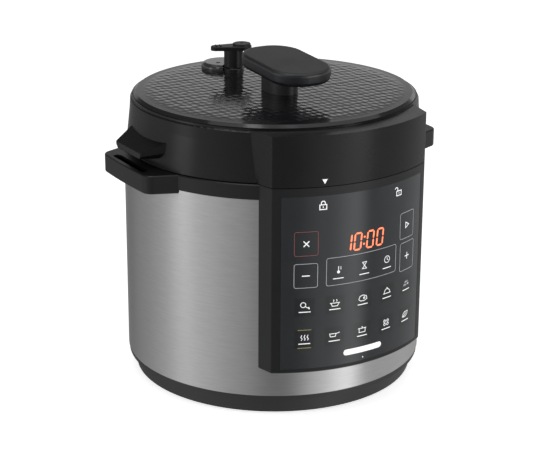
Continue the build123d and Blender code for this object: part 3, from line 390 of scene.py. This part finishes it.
finishOf = {
    "base_shell": basePlastic, "rubber_feet": footRubber, "nest_legs": pressedSteel,
    "base_screws": screwSteel, "handle_screws": screwSteel, "control_board_screws": screwSteel,
    "ring_screws": screwSteel, "power_board_screws": screwSteel, "inlet_screws": screwSteel,
    "bracket_screws": screwSteel, "lid_screws": screwSteel, "grip_screws": screwSteel,
    "steel_housing": skinSteel, "rim_ring": bodyPlastic,
    "handle_cover_right": bodyPlastic, "handle_cover_left": bodyPlastic,
    "front_housing": bodyPlastic, "panel_film": filmGloss,
    "control_board": boardMask, "power_board": boardMask, "power_parts": switchPlastic,
    "display_module": socketPlastic, "touch_springs": turnedSteel,
    "outer_pot": nestAluminium, "bayonet_ring": ringSteel, "heating_plate": plateAluminium,
    "heating_tube": heaterSteel, "plate_spacers": pressedSteel, "sensor_bracket": pressedSteel,
    "thermal_fuse": switchPlastic, "pressure_switch": switchPlastic,
    "inlet_socket": socketPlastic, "inlet_pins": contactBrass,
    "cup_bracket": basePlastic, "condensate_cup": cupPlastic,
    "sensor_cap": plateAluminium, "sensor_spring": turnedSteel,
    "inner_pot": potCoating, "sealing_ring": sealRubber, "seal_rack": lidSteel,
    "lid_cover": lidPlastic, "lid_top_plate": lidGloss, "valve_pad": padPlasticPaintedReflection,
    "valve_collar": knobPlastic, "metal_lid": lidSteel, "handle_cap": gripPlastic,
    "handle_base": gripPlastic, "vent_pipe": turnedSteel, "vent_nut": screwSteel,
    "vent_shield": pressedSteel, "lock_bracket": pressedSteel, "valve_knob": knobPlastic,
    "valve_weight": turnedSteel, "float_pin": turnedSteel, "float_seal": sealRubber,
    "lock_slider": sliderPlastic,
}
for nodeName, obj in nodes.items():
    obj.data.materials.clear()
    obj.data.materials.append(finishOf[nodeName])
print("finishes given to the frame's pieces")


def newPiece(name, verts, faces, material, body):
    mesh = bpy.data.meshes.new(name)
    mesh.from_pydata(verts, [], faces)
    mesh.update()
    obj = bpy.data.objects.new(name, mesh)
    scene.collection.objects.link(obj)
    obj.data.materials.append(material)
    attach(obj, body)


def splitRuns(points, step, closed, counter=math.ceil):
    # adds points along a chain, so that it can follow the drum
    chain = []
    ahead = points[1:] + points[:1] if closed else points[1:]
    for (a0, u0), (a1, u1) in zip(points, ahead):
        count = max(1, counter(math.hypot(a1 - a0, u1 - u0) / step))
        chain += [(a0 + (a1 - a0) * i / count, u0 + (u1 - u0) * i / count) for i in range(count)]
    return chain if closed else chain + [points[-1]]


def circlePoints(along, up, radius, count):
    turns = [2 * math.pi * i / count for i in range(count)]
    return [(along + radius * math.cos(t), up + radius * math.sin(t)) for t in turns]


class Wrap:
    # flat shapes (along, up) in millimetres, laid on a drum round the upright axis
    def __init__(self, radius, thick):
        self.low, self.high = radius * mm, (radius + thick) * mm
        self.radius = radius
        self.verts, self.faces = [], []

    def addLayers(self, *outlines):
        # every outline twice, first on the drum and then raised; gives where each one starts
        start, count = len(self.verts), len(outlines[0])
        for reach in (self.low, self.high):
            for outline in outlines:
                for along, up in outline:
                    angle = along / self.radius
                    self.verts.append((reach * math.sin(angle), -reach * math.cos(angle), up * mm))
        return [start + count * i for i in range(2 * len(outlines))]

    def band(self, outer, inner):
        # closed ring between two outlines with the same number of points
        lowOut, lowIn, highOut, highIn = self.addLayers(outer, inner)
        count = len(outer)
        for i in range(count):
            j = (i + 1) % count
            self.faces += [
                (highOut + i, highOut + j, highIn + j, highIn + i),
                (lowOut + j, lowOut + i, lowIn + i, lowIn + j),
                (lowOut + i, lowOut + j, highOut + j, highOut + i),
                (lowIn + j, lowIn + i, highIn + i, highIn + j),
            ]

    def patch(self, outline):
        # filled convex outline, kept small enough to lie on the drum
        low, high = self.addLayers(outline)
        count = len(outline)
        self.faces.append([high + i for i in range(count)])
        self.faces.append([low + i for i in reversed(range(count))])
        for i in range(count):
            j = (i + 1) % count
            self.faces.append((low + i, low + j, high + j, high + i))

    def strip(self, first, second):
        # long filled shape between two open lines with the same number of points
        lowA, lowB, highA, highB = self.addLayers(first, second)
        last = len(first) - 1
        for i in range(last):
            j = i + 1
            self.faces += [
                (highA + i, highA + j, highB + j, highB + i),
                (lowA + j, lowA + i, lowB + i, lowB + j),
                (lowA + i, lowA + j, highA + j, highA + i),
                (lowB + j, lowB + i, highB + i, highB + j),
            ]
        self.faces += [
            (lowB, lowA, highA, highB),
            (lowA + last, lowB + last, highB + last, highA + last),
        ]

    def stroke(self, points, width, closed=False):
        # a line of even width with mitred bends and blunt tips
        chain = splitRuns(points, strokeLook["run"], closed)
        count = len(chain)
        sides = ([], [])
        for i, (a, u) in enumerate(chain):
            before = chain[i - 1] if closed or i else chain[i]
            after = chain[(i + 1) % count] if closed or i < count - 1 else chain[i]
            steps = ((before, chain[i]), (chain[i], after))
            headings = [Vector((q[0] - p[0], q[1] - p[1])) for p, q in steps if p != q]
            normals = [Vector((-d.y, d.x)).normalized() for d in headings]
            mitre = (normals[0] + normals[-1]).normalized()
            reach = width / 2 / max(strokeLook["mitreLimit"], mitre.dot(normals[0]))
            for side, sign in zip(sides, (-1, 1)):
                side.append((a + mitre.x * reach * sign, u + mitre.y * reach * sign))
        if closed:
            self.band(sides[0], sides[1])
            return
        narrow = strokeLook["tipWidth"]
        for side in sides:
            for end, inner in ((0, 1), (-1, -2)):
                a, u = chain[end]
                outward = (Vector(chain[end]) - Vector(chain[inner])).normalized()
                outward = outward * width * strokeLook["tipReach"]
                edge = side[end]
                tip = (a + outward.x + (edge[0] - a) * narrow, u + outward.y + (edge[1] - u) * narrow)
                side.insert(0 if end == 0 else len(side), tip)
        self.strip(sides[0], sides[1])

    def ring(self, along, up, radius, width):
        self.band(circlePoints(along, up, radius + width / 2, 28),
                  circlePoints(along, up, radius - width / 2, 28))

    def dot(self, along, up, radius):
        self.patch(circlePoints(along, up, radius, 16))

    def piece(self, name, material, body):
        newPiece(name, self.verts, self.faces, material, body)


# run in millimetres, tips as shares of the line's width
strokeLook = {"run": 1.5, "mitreLimit": 0.5, "tipReach": 0.2, "tipWidth": 0.55}


def roundedOutline(along, up, width, height, corner):
    points = []
    corners = ((1, 1, 0), (-1, 1, 90), (-1, -1, 180), (1, -1, 270))
    for sideA, sideU, start in corners:
        middleA = along + sideA * (width / 2 - corner)
        middleU = up + sideU * (height / 2 - corner)
        for i in range(7):
            turn = math.radians(start + 15 * i)
            points.append((middleA + corner * math.cos(turn), middleU + corner * math.sin(turn)))
    return splitRuns(points, 3.0, True, round)


# millimetres along the film and up from the table
panelPrint = {
    "drum": 151.37, "inkThick": 0.07, "tileThick": 0.03, "digitThick": 0.08,
    "frameLine": 0.45, "frameCorner": 2.2, "iconLine": 0.62, "barLine": 0.8,
    "columns": (-55.0, -27.3, 0.7, 28.6, 56.0), "rows": (110.0, 80.0),
    "iconRise": 1.5, "barDrop": 4.4, "barHalf": 5.2,
}
keyFrames = {  # along, up, width, height
    "cancel": (-54.2, 168.7, 21.5, 22.3), "minus": (-54.3, 139.3, 21.4, 22.6),
    "start": (54.3, 168.2, 21.0, 25.0), "plus": (55.5, 138.6, 21.5, 27.0),
    "settings": (1.5, 141.0, 75.0, 26.0),
}


def frameRing(wrap, name):
    along, up, width, height = keyFrames[name]
    line, corner = panelPrint["frameLine"], panelPrint["frameCorner"]
    outer = roundedOutline(along, up, width, height, corner)
    inner = roundedOutline(along, up, width - 2 * line, height - 2 * line, corner - line)
    wrap.band(outer, inner)


greyPrint = Wrap(panelPrint["drum"], panelPrint["inkThick"])
for key in ("minus", "start", "plus", "settings"):
    frameRing(greyPrint, key)
greyPrint.piece("keyFrames", greyInkPaintedGlow, "base")

redPrint = Wrap(panelPrint["drum"], panelPrint["inkThick"])
frameRing(redPrint, "cancel")
redPrint.piece("cancelFrame", inkRed, "base")
print("key frames printed")

# open lines, closed loops, rings (along, up, radius) and filled dots, about each sign's middle
pictures = {
    "bowl": {
        "lines": [[(-4.6, 0), (4.6, 0)], [(-4, 0), (-2.4, -2.9), (2.4, -2.9), (4, 0)],
                  [(-1.6, 1.2), (-1, 2.2), (-1.6, 3.2)], [(1.4, 1.2), (2, 2.2), (1.4, 3.2)]],
    },
    "drumstick": {
        "lines": [[(0.3, -0.6), (3.4, -2.4)]], "rings": [(-1.4, 0.8, 2.3)],
        "dots": [(3.6, -1.8, 0.6), (4.0, -2.9, 0.6)],
    },
    "steak": {
        "loops": [[(-4.4, -1), (-3, 2), (0, 2.8), (3.6, 1.6), (4.3, -1.2), (1.5, -2.6),
                   (-2.2, -2.6)]],
        "rings": [(1.4, 0, 0.8)],
    },
    "dome": {
        "lines": [[(-4.6, -1.8), (4.6, -1.8)],
                  [(-3.6, -1.8), (-3.1, 0.5), (-1.7, 2), (0, 2.5), (1.7, 2), (3.1, 0.5),
                   (3.6, -1.8)]],
        "dots": [(0, 3.4, 0.6)],
    },
    "grains": {
        "lines": [[(-3.6, -1.6), (-2.6, 0)], [(-0.6, -2), (0.2, -0.4)], [(2.4, -1.6), (3.2, 0)],
                  [(-1.9, 0.8), (-1, 2.4)], [(0.9, 0.8), (1.7, 2.4)]],
    },
    "waves": {
        "lines": [[(a, -2.6), (a + 0.9, -1.2), (a - 0.4, 0.4), (a + 0.5, 2.4)]
                  for a in (-2.8, 0, 2.8)],
    },
    "pan": {
        "loops": [[(-4.6, 1), (-3.8, -1.8), (0.8, -1.8), (1.6, 1)]],
        "lines": [[(1.6, 0.7), (5, 1.7)]],
    },
    "pot": {
        "lines": [[(-3.2, 1), (-3.2, -2.6), (3.2, -2.6), (3.2, 1)], [(-4.2, 1.2), (4.2, 1.2)]],
        "dots": [(0, 2.3, 0.6)],
    },
    "fourDots": {
        "rings": [(-1.9, 1.6, 1.1), (1.9, 1.6, 1.1), (-1.9, -1.6, 1.1), (1.9, -1.6, 1.1)],
    },
    "leaf": {
        "loops": [[(-3.8, -2.2), (-3.4, 0.8), (-1, 2.4), (3.6, 2.6), (2.8, -0.6), (0, -2.2)]],
        "lines": [[(-3.8, -2.2), (1.2, 1)]],
    },
    "thermometer": {
        "lines": [[(0, -0.8), (0, 3.2)], [(1.7, 0.6), (2.7, 0.6)], [(1.7, 2.2), (2.7, 2.2)]],
        "dots": [(0, -2, 1.4)],
    },
    "clock": {"rings": [(0, 0, 3.1)], "lines": [[(0, 1.9), (0, 0), (1.4, -0.7)]]},
    "hourglass": {"loops": [[(-2.2, 3), (2.2, 3), (-2.2, -3), (2.2, -3)]]},
    "cross": {"lines": [[(-2.4, -2.4), (2.4, 2.4)], [(-2.4, 2.4), (2.4, -2.4)]]},
    "plus": {"lines": [[(-3, 0), (3, 0)], [(0, -3), (0, 3)]]},
    "minus": {"lines": [[(-3.4, 0), (3.4, 0)]]},
    "play": {"loops": [[(-1.9, -2.4), (2.4, 0), (-1.9, 2.4)]]},
    "padlock": {
        "loops": [[(-3.1, -3.6), (3.1, -3.6), (3.1, 0.6), (-3.1, 0.6)]],
        "lines": [[(-1.8, 0.8), (-1.8, 2.6), (-0.9, 3.7), (0.9, 3.7), (1.8, 2.6), (1.8, 0.8)],
                  [(0, -2), (0, -0.9)]],
    },
    "padlockOpen": {
        "loops": [[(-3.1, -3.6), (3.1, -3.6), (3.1, 0.6), (-3.1, 0.6)]],
        "lines": [[(-1.8, 0.8), (-1.8, 2.9), (-2.7, 4), (-4.3, 4), (-5.2, 2.9)],
                  [(0, -2), (0, -0.9)]],
    },
}


def drawPicture(wrap, name, along, up, size=1.0, width=panelPrint["iconLine"]):
    shapes = pictures[name]
    for kind, closed in (("lines", False), ("loops", True)):
        for chain in shapes.get(kind, []):
            wrap.stroke([(along + a * size, up + u * size) for a, u in chain], width, closed)
    for a, u, radius in shapes.get("rings", []):
        wrap.ring(along + a * size, up + u * size, radius * size, width)
    for a, u, radius in shapes.get("dots", []):
        wrap.dot(along + a * size, up + u * size, radius * size)


def drawBar(wrap, along, up, half):
    wrap.stroke([(along - half, up), (along + half, up)], panelPrint["barLine"])


foodKeys = (("drumstick", "bowl", "steak", "dome", "grains"),
            ("waves", "pan", "pot", "fourDots", "leaf"))
settingKeys = {
    "signs": (("thermometer", -24.5), ("hourglass", 1.5), ("clock", 27.5)),
    "up": 142.2, "barUp": 134.2, "barHalf": 5,
}
sideSigns = (  # sign, along, up, size, line
    ("cross", -54.2, 168.7, 1.0, 0.9), ("minus", -54.3, 139.3, 1.0, 0.9),
    ("play", 54.3, 168.2, 1.1, 0.8), ("plus", 55.5, 138.6, 1.0, 0.9),
    ("padlock", -39.7, 202.7, 1.0, 0.85), ("padlockOpen", 40.6, 202.5, 1.0, 0.85),
)
badge = {"along": 2.4, "up": 62.3, "long": 41.0, "high": 5.6, "dotUp": 54.6, "dotSize": 0.55}

whitePrint = Wrap(panelPrint["drum"], panelPrint["inkThick"])
for along, *signs in zip(panelPrint["columns"], *foodKeys):
    for sign, row in zip(signs, panelPrint["rows"]):
        drawPicture(whitePrint, sign, along, row + panelPrint["iconRise"])
        drawBar(whitePrint, along, row - panelPrint["barDrop"], panelPrint["barHalf"])
for sign, along in settingKeys["signs"]:
    drawPicture(whitePrint, sign, along, settingKeys["up"])
    drawBar(whitePrint, along, settingKeys["barUp"], settingKeys["barHalf"])
for sign in sideSigns:
    drawPicture(whitePrint, *sign)

badgeLow, badgeTop = [], []
for i in range(33):
    across = math.cos(math.pi * (1 - i / 32)) * badge["long"] / 2
    over = max(0.0, abs(across) - (badge["long"] - badge["high"]) / 2)
    rise = math.sqrt(max(0.04, (badge["high"] / 2) ** 2 - over ** 2))
    badgeLow.append((badge["along"] + across, badge["up"] - rise))
    badgeTop.append((badge["along"] + across, badge["up"] + rise))
whitePrint.strip(badgeLow, badgeTop)
whitePrint.dot(badge["along"] - 0.4, badge["dotUp"], badge["dotSize"])
whitePrint.piece("panelPictures", whiteInkPaintedGlow, "base")

warmLook = {"along": (-61, -55, -49), "ups": (88.6, 71.6), "line": 0.7}
amberPrint = Wrap(panelPrint["drum"], panelPrint["inkThick"])
for up in warmLook["ups"]:
    amberPrint.stroke([(along, up) for along in warmLook["along"]], warmLook["line"])
amberPrint.piece("warmMarks", inkAmber, "base")

tileLook = {"halfWide": 9, "halfHigh": 8.5, "step": 1.5, "points": 13}
tilePrint = Wrap(panelPrint["drum"], panelPrint["tileThick"])
for along in panelPrint["columns"]:
    left = along - tileLook["halfWide"]
    edge = [left + tileLook["step"] * i for i in range(tileLook["points"])]
    for row in panelPrint["rows"]:
        low, high = row - tileLook["halfHigh"], row + tileLook["halfHigh"]
        tilePrint.strip([(a, low) for a in edge], [(a, high) for a in edge])
tilePrint.piece("keyTiles", tileGloss, "base")

# seven-segment digits, leaning a little
clockFace = {
    "left": -16.0, "pitch": 10.3, "wide": 6.6, "high": 15.0, "middle": 165.6,
    "stroke": 1.55, "lean": 0.09, "gap": 0.35,
    "digits": ((0, "1"), (0.98, "0"), (2.25, "0"), (3.3, "0")),  # place in pitches
    "colonPlace": 1.62, "colonHalf": 3.2, "colonDot": 0.95,
}
segmentsOf = {"1": "bc", "0": "abcdef"}


def segmentOutline(kind, face):
    w, h, gap = face["wide"] / 2, face["high"] / 2, face["gap"]
    ends = {
        "a": ((-w, h), (w, h)), "b": ((w, h), (w, 0)), "c": ((w, 0), (w, -h)),
        "d": ((-w, -h), (w, -h)), "e": ((-w, 0), (-w, -h)), "f": ((-w, h), (-w, 0)),
    }
    (a0, u0), (a1, u1) = ends[kind]
    length = math.hypot(a1 - a0, u1 - u0)
    da, du = (a1 - a0) / length, (u1 - u0) / length
    half = face["stroke"] / 2
    corners = (
        (gap, 0), (gap + half, half), (length - gap - half, half),
        (length - gap, 0), (length - gap - half, -half), (gap + half, -half),
    )
    return [(a0 + da * t - du * n, u0 + du * t + da * n) for t, n in reversed(corners)]


def drawDigit(wrap, digit, along, face):
    for kind in segmentsOf[digit]:
        outline = segmentOutline(kind, face)
        wrap.patch([(along + a + u * face["lean"], face["middle"] + u) for a, u in outline])


digits = Wrap(panelPrint["drum"], panelPrint["digitThick"])
for spot, digit in clockFace["digits"]:
    drawDigit(digits, digit, clockFace["left"] + spot * clockFace["pitch"], clockFace)
colonAlong = clockFace["left"] + clockFace["colonPlace"] * clockFace["pitch"]
for rise in (-clockFace["colonHalf"], clockFace["colonHalf"]):
    digits.dot(colonAlong + rise * clockFace["lean"], clockFace["middle"] + rise,
               clockFace["colonDot"])
digits.piece("timeDigits", digitGlow, "base")

arrowLook = {
    "drum": 151.5, "thick": 0.06, "corners": [(-38.6, 221.9), (-36.2, 226.2), (-41.0, 226.2)],
}
lidMark = Wrap(arrowLook["drum"], arrowLook["thick"])
lidMark.patch(arrowLook["corners"])
lidMark.piece("closedArrow", whiteInkPaintedGlow, "lid")
print("panel pictures, digits and marks printed")

floorLook = {
    "half": 9.0, "dark": (0.90, 0.90, 0.90), "light": (0.93, 0.93, 0.93),
    "roughLow": 0.75, "roughHigh": 0.85, "glow": 0.75,
}


def paleFloor(look):
    mat, tree, shader = startMaterial("paleFloor")
    fine = noise(tree, place(tree), grainSizes["floorFine"], detail=4, rough=0.5)
    colour = blendColours(tree, fine, look["dark"], look["light"])
    tree.links.new(colour, shader.inputs["Base Color"])
    rough = spread(tree, fine, look["roughLow"], look["roughHigh"])
    tree.links.new(rough, shader.inputs["Roughness"])
    bump(tree, fine, 0.02, 0.0002, shader)
    shader.inputs["Emission Color"].default_value = (1, 1, 1, 1)
    shader.inputs["Emission Strength"].default_value = look["glow"]
    return mat


half = floorLook["half"]
floorCorners = [(-half, -half, 0), (half, -half, 0), (half, half, 0), (-half, half, 0)]
floorMesh = bpy.data.meshes.new("floor")
floorMesh.from_pydata(floorCorners, [], [(0, 1, 2, 3)])
floor = bpy.data.objects.new("floor", floorMesh)
scene.collection.objects.link(floor)
floorMesh.materials.append(paleFloor(floorLook))
floor.visible_glossy = False  # the shiny parts mirror the room instead


def softBox(name, look):
    # turn 0 is in front of the panel, positive to its right
    data = bpy.data.lights.new(name, "AREA")
    data.shape = "RECTANGLE"
    data.size, data.size_y = look["size"]
    data.energy = look["power"]
    lamp = bpy.data.objects.new(name, data)
    turn = math.radians(look["turn"])
    reach = look["reach"]
    lamp.location = (reach * math.sin(turn), -reach * math.cos(turn), look["height"])
    aim = Vector((0, 0, 0.13)) - lamp.location
    lamp.rotation_euler = aim.to_track_quat("-Z", "Y").to_euler()
    scene.collection.objects.link(lamp)


softBoxes = {
    "topBox": {"turn": 60, "height": 2.0, "reach": 0.25, "size": (2.6, 2.6), "power": 14},
    "leftBox": {"turn": -102, "height": 0.55, "reach": 1.7, "size": (0.5, 1.2), "power": 2},
    "rimBox": {"turn": -70, "height": 1.5, "reach": 0.9, "size": (0.3, 1.4), "power": 3.0},
    "rightBox": {"turn": 30, "height": 0.35, "reach": 1.9, "size": (0.3, 0.9), "power": 3.5},
}
for boxName, boxLook in softBoxes.items():
    softBox(boxName, boxLook)

# the room round the table: brightness by compass turn, then by height above the table
roomLook = {
    "turns": ((-180, 0.20), (-150, 0.34), (-120, 0.50), (-100, 0.72), (-85, 0.58), (-60, 0.40),
              (-32, 0.22), (-20, 0.22), (6, 0.70), (28, 1.40), (42, 0.42), (62, 0.50),
              (90, 0.55), (125, 0.42), (155, 0.40), (180, 0.20)),
    "climbs": ((-1.0, 1.0), (0.0, 1.0), (0.12, 1.7), (0.205, 2.0), (0.265, 0.75), (0.34, 0.45),
               (0.5, 0.3), (1.0, 0.45)),
}


def greyRamp(tree, value, stops, low, high):
    node = put(tree, "ShaderNodeValToRGB")
    node.color_ramp.interpolation = "EASE"
    marks = node.color_ramp.elements
    while len(marks) < len(stops):
        marks.new(0.5)
    for mark, (at, shade) in zip(marks, stops):
        mark.position = (at - low) / (high - low)
        mark.color = (shade, shade, shade, 1)
    tree.links.new(value, node.inputs[0])
    return node.outputs[0]


world = bpy.data.worlds.new("studio")
world.use_nodes = True
scene.world = world
sky = world.node_tree
backdrop = sky.nodes["Background"]
skyCoords = put(sky, "ShaderNodeTexCoord")
skySplit = put(sky, "ShaderNodeSeparateXYZ")
sky.links.new(skyCoords.outputs["Generated"], skySplit.inputs[0])
skyX, skyY, skyZ = skySplit.outputs
compass = calc(sky, "ARCTAN2", skyX, calc(sky, "MULTIPLY", skyY, -1.0))
turnShare = spread(sky, compass, 0.0, 1.0, -math.pi, math.pi)
climbShare = spread(sky, skyZ, 0.0, 1.0, -1.0, 1.0)
turnShade = greyRamp(sky, turnShare, roomLook["turns"], -180, 180)
climbShade = greyRamp(sky, climbShare, roomLook["climbs"], -1, 1)
sky.links.new(turnShade, backdrop.inputs["Color"])
sky.links.new(climbShade, backdrop.inputs["Strength"])

scene.view_settings.view_transform = "Standard"
scene.view_settings.look = "None"

view = {  # millimetres and degrees
    "from": (-759.29, -1248.81, 638.83), "towards": (1.11, -0.68, 134.61),
    "lens": 106.09, "roll": 0.354,
}
eye, target = Vector(view["from"]) * mm, Vector(view["towards"]) * mm
forward = (target - eye).normalized()
right = forward.cross(Vector((0, 0, 1))).normalized()
above = right.cross(forward)
roll = math.radians(view["roll"])
tiltedRight = right * math.cos(roll) + above * math.sin(roll)
tiltedUp = above * math.cos(roll) - right * math.sin(roll)
lensData = bpy.data.cameras.new("camera")
lensData.lens = view["lens"]
lensData.sensor_width = 36
camera = bpy.data.objects.new("camera", lensData)
turned = Matrix((tiltedRight, tiltedUp, -forward)).transposed()
camera.matrix_world = Matrix.Translation(eye) @ turned.to_4x4()
scene.collection.objects.link(camera)
scene.camera = camera
print("floor, lights and camera set")
